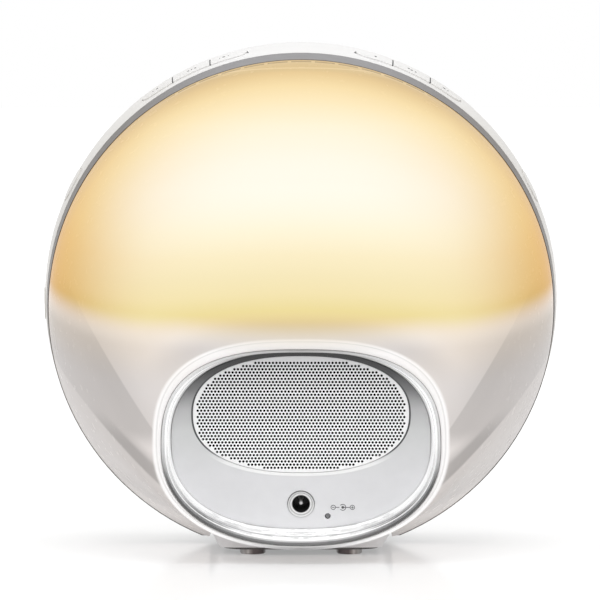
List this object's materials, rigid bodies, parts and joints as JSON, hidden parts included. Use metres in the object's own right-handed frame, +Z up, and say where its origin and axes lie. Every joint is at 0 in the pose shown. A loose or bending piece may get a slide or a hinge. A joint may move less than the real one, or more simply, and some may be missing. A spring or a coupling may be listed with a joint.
{
  "type": "sunrise alarm clock",
  "caption": "Round sunrise alarm clock: a glowing domed lamp head on a small base, with rim buttons, a display window in front and a speaker grille and power socket behind.",
  "frame": {"origin": "centre of the object's outline on the table, under the middle of its width and depth", "axes": "+Z up, -Y towards the front (the display side), +Y towards the speaker and the power socket, +X to the left of someone who looks at the back"},
  "size_m": [0.1883, 0.121, 0.1834],
  "materials": {
    "white_gloss": "smooth",
    "grey_satin": "satin",
    "lit_shell": "translucent, lit from inside",
    "clear": "clear",
    "panel_grey": "satin",
    "grille_white": "satin",
    "black_plastic": "moulded",
    "steel": "plated",
    "reset_grey": "moulded",
    "board_green": "solder mask",
    "front_white": "satin, translucent",
    "window": "smoked, smooth",
    "ring_silver": "satin",
    "inner_white": "moulded",
    "digits": "lit",
    "spreader": "milled",
    "led_board": "solder mask",
    "led_light": "lit",
    "capacitor": "sleeved",
    "base_grey": "smooth",
    "base_dark": "moulded",
    "foot_rubber": "moulded"
  },
  "bodies": {
    "lamp": {"rim_band": "white_gloss", "seam_ring": "grey_satin", "back_shell": "lit_shell", "pod_ring": "clear", "rear_panel": "panel_grey", "speaker_grille": "grille_white", "speaker_basket": "steel", "speaker_magnet": "steel", "speaker_surround": "black_plastic", "jack_housing": "black_plastic", "jack_pin": "steel", "jack_collar": "grille_white", "reset_switch": "black_plastic", "power_board": "board_green", "front_diffuser": "front_white", "display_window": "window", "display_ring": "ring_silver", "display_shroud": "inner_white", "display_module": "black_plastic", "digit_bars": "digits", "display_board": "board_green", "inner_frame": "inner_white", "lamp_deck": "inner_white", "heat_spreader": "spreader", "led_board": "led_board", "leds": "led_light", "main_board": "board_green", "capacitors": "capacitor", "controller_chip": "black_plastic", "board_connectors": "inner_white", "button_board_right": "board_green", "button_board_left": "board_green", "tact_switches": "black_plastic", "base_pan": "base_grey", "base_plate": "base_dark", "base_screws": "steel", "rear_feet": "foot_rubber", "front_feet": "foot_rubber"},
    "right_button_1": {"right_button_1": "white_gloss", "right_plunger_1": "inner_white"},
    "right_button_2": {"right_button_2": "white_gloss", "right_plunger_2": "inner_white"},
    "right_button_3": {"right_button_3": "white_gloss", "right_plunger_3": "inner_white"},
    "left_button_1": {"left_button_1": "white_gloss", "left_plunger_1": "inner_white"},
    "left_button_2": {"left_button_2": "white_gloss", "left_plunger_2": "inner_white"},
    "left_button_3": {"left_button_3": "white_gloss", "left_plunger_3": "inner_white"},
    "right_side_button": {"right_side_button": "white_gloss", "right_side_plunger": "inner_white"},
    "left_side_button": {"left_side_button": "white_gloss", "left_side_plunger": "inner_white"},
    "left_low_button": {"left_low_button": "white_gloss", "left_low_plunger": "inner_white"},
    "reset_button": {"reset_button": "reset_grey"},
    "speaker_cone": {"speaker_cone": "black_plastic"}
  },
  "joints": [
    {"name": "right_button_1_press", "type": "slide", "parent": "lamp", "child": "right_button_1", "axis": [0.2832, -0.1335, -0.9497], "range_m": [0, 0.0005], "stiffness_N_per_m": 900, "springref_m": -0.0004},
    {"name": "right_button_2_press", "type": "slide", "parent": "lamp", "child": "right_button_2", "axis": [0.4289, -0.1257, -0.8945], "range_m": [0, 0.0005], "stiffness_N_per_m": 900, "springref_m": -0.0004},
    {"name": "right_button_3_press", "type": "slide", "parent": "lamp", "child": "right_button_3", "axis": [0.5614, -0.1152, -0.8195], "range_m": [0, 0.0005], "stiffness_N_per_m": 900, "springref_m": -0.0004},
    {"name": "left_button_1_press", "type": "slide", "parent": "lamp", "child": "left_button_1", "axis": [-0.2798, -0.1336, -0.9507], "range_m": [0, 0.0005], "stiffness_N_per_m": 900, "springref_m": -0.0004},
    {"name": "left_button_2_press", "type": "slide", "parent": "lamp", "child": "left_button_2", "axis": [-0.4258, -0.1259, -0.896], "range_m": [0, 0.0005], "stiffness_N_per_m": 900, "springref_m": -0.0004},
    {"name": "left_button_3_press", "type": "slide", "parent": "lamp", "child": "left_button_3", "axis": [-0.5577, -0.1155, -0.8219], "range_m": [0, 0.0005], "stiffness_N_per_m": 900, "springref_m": -0.0004},
    {"name": "right_side_button_press", "type": "slide", "parent": "lamp", "child": "right_side_button", "axis": [0.8918, -0.063, -0.448], "range_m": [0, 0.0005], "stiffness_N_per_m": 900, "springref_m": -0.0004},
    {"name": "left_side_button_press", "type": "slide", "parent": "lamp", "child": "left_side_button", "axis": [-0.889, -0.0637, -0.4534], "range_m": [0, 0.0005], "stiffness_N_per_m": 900, "springref_m": -0.0004},
    {"name": "left_low_button_press", "type": "slide", "parent": "lamp", "child": "left_low_button", "axis": [-0.9999, 0.0021, 0.0147], "range_m": [0, 0.0005], "stiffness_N_per_m": 900, "springref_m": -0.0004},
    {"name": "reset_press", "type": "slide", "parent": "lamp", "child": "reset_button", "axis": [0, -0.9903, 0.1392], "range_m": [0, 0.0005], "stiffness_N_per_m": 600, "springref_m": -0.0003},
    {"name": "cone_stroke", "type": "slide", "parent": "lamp", "child": "speaker_cone", "axis": [0, 0.9903, -0.1392], "range_m": [-0.0004, 0.0004], "stiffness_N_per_m": 1500}
  ]
}
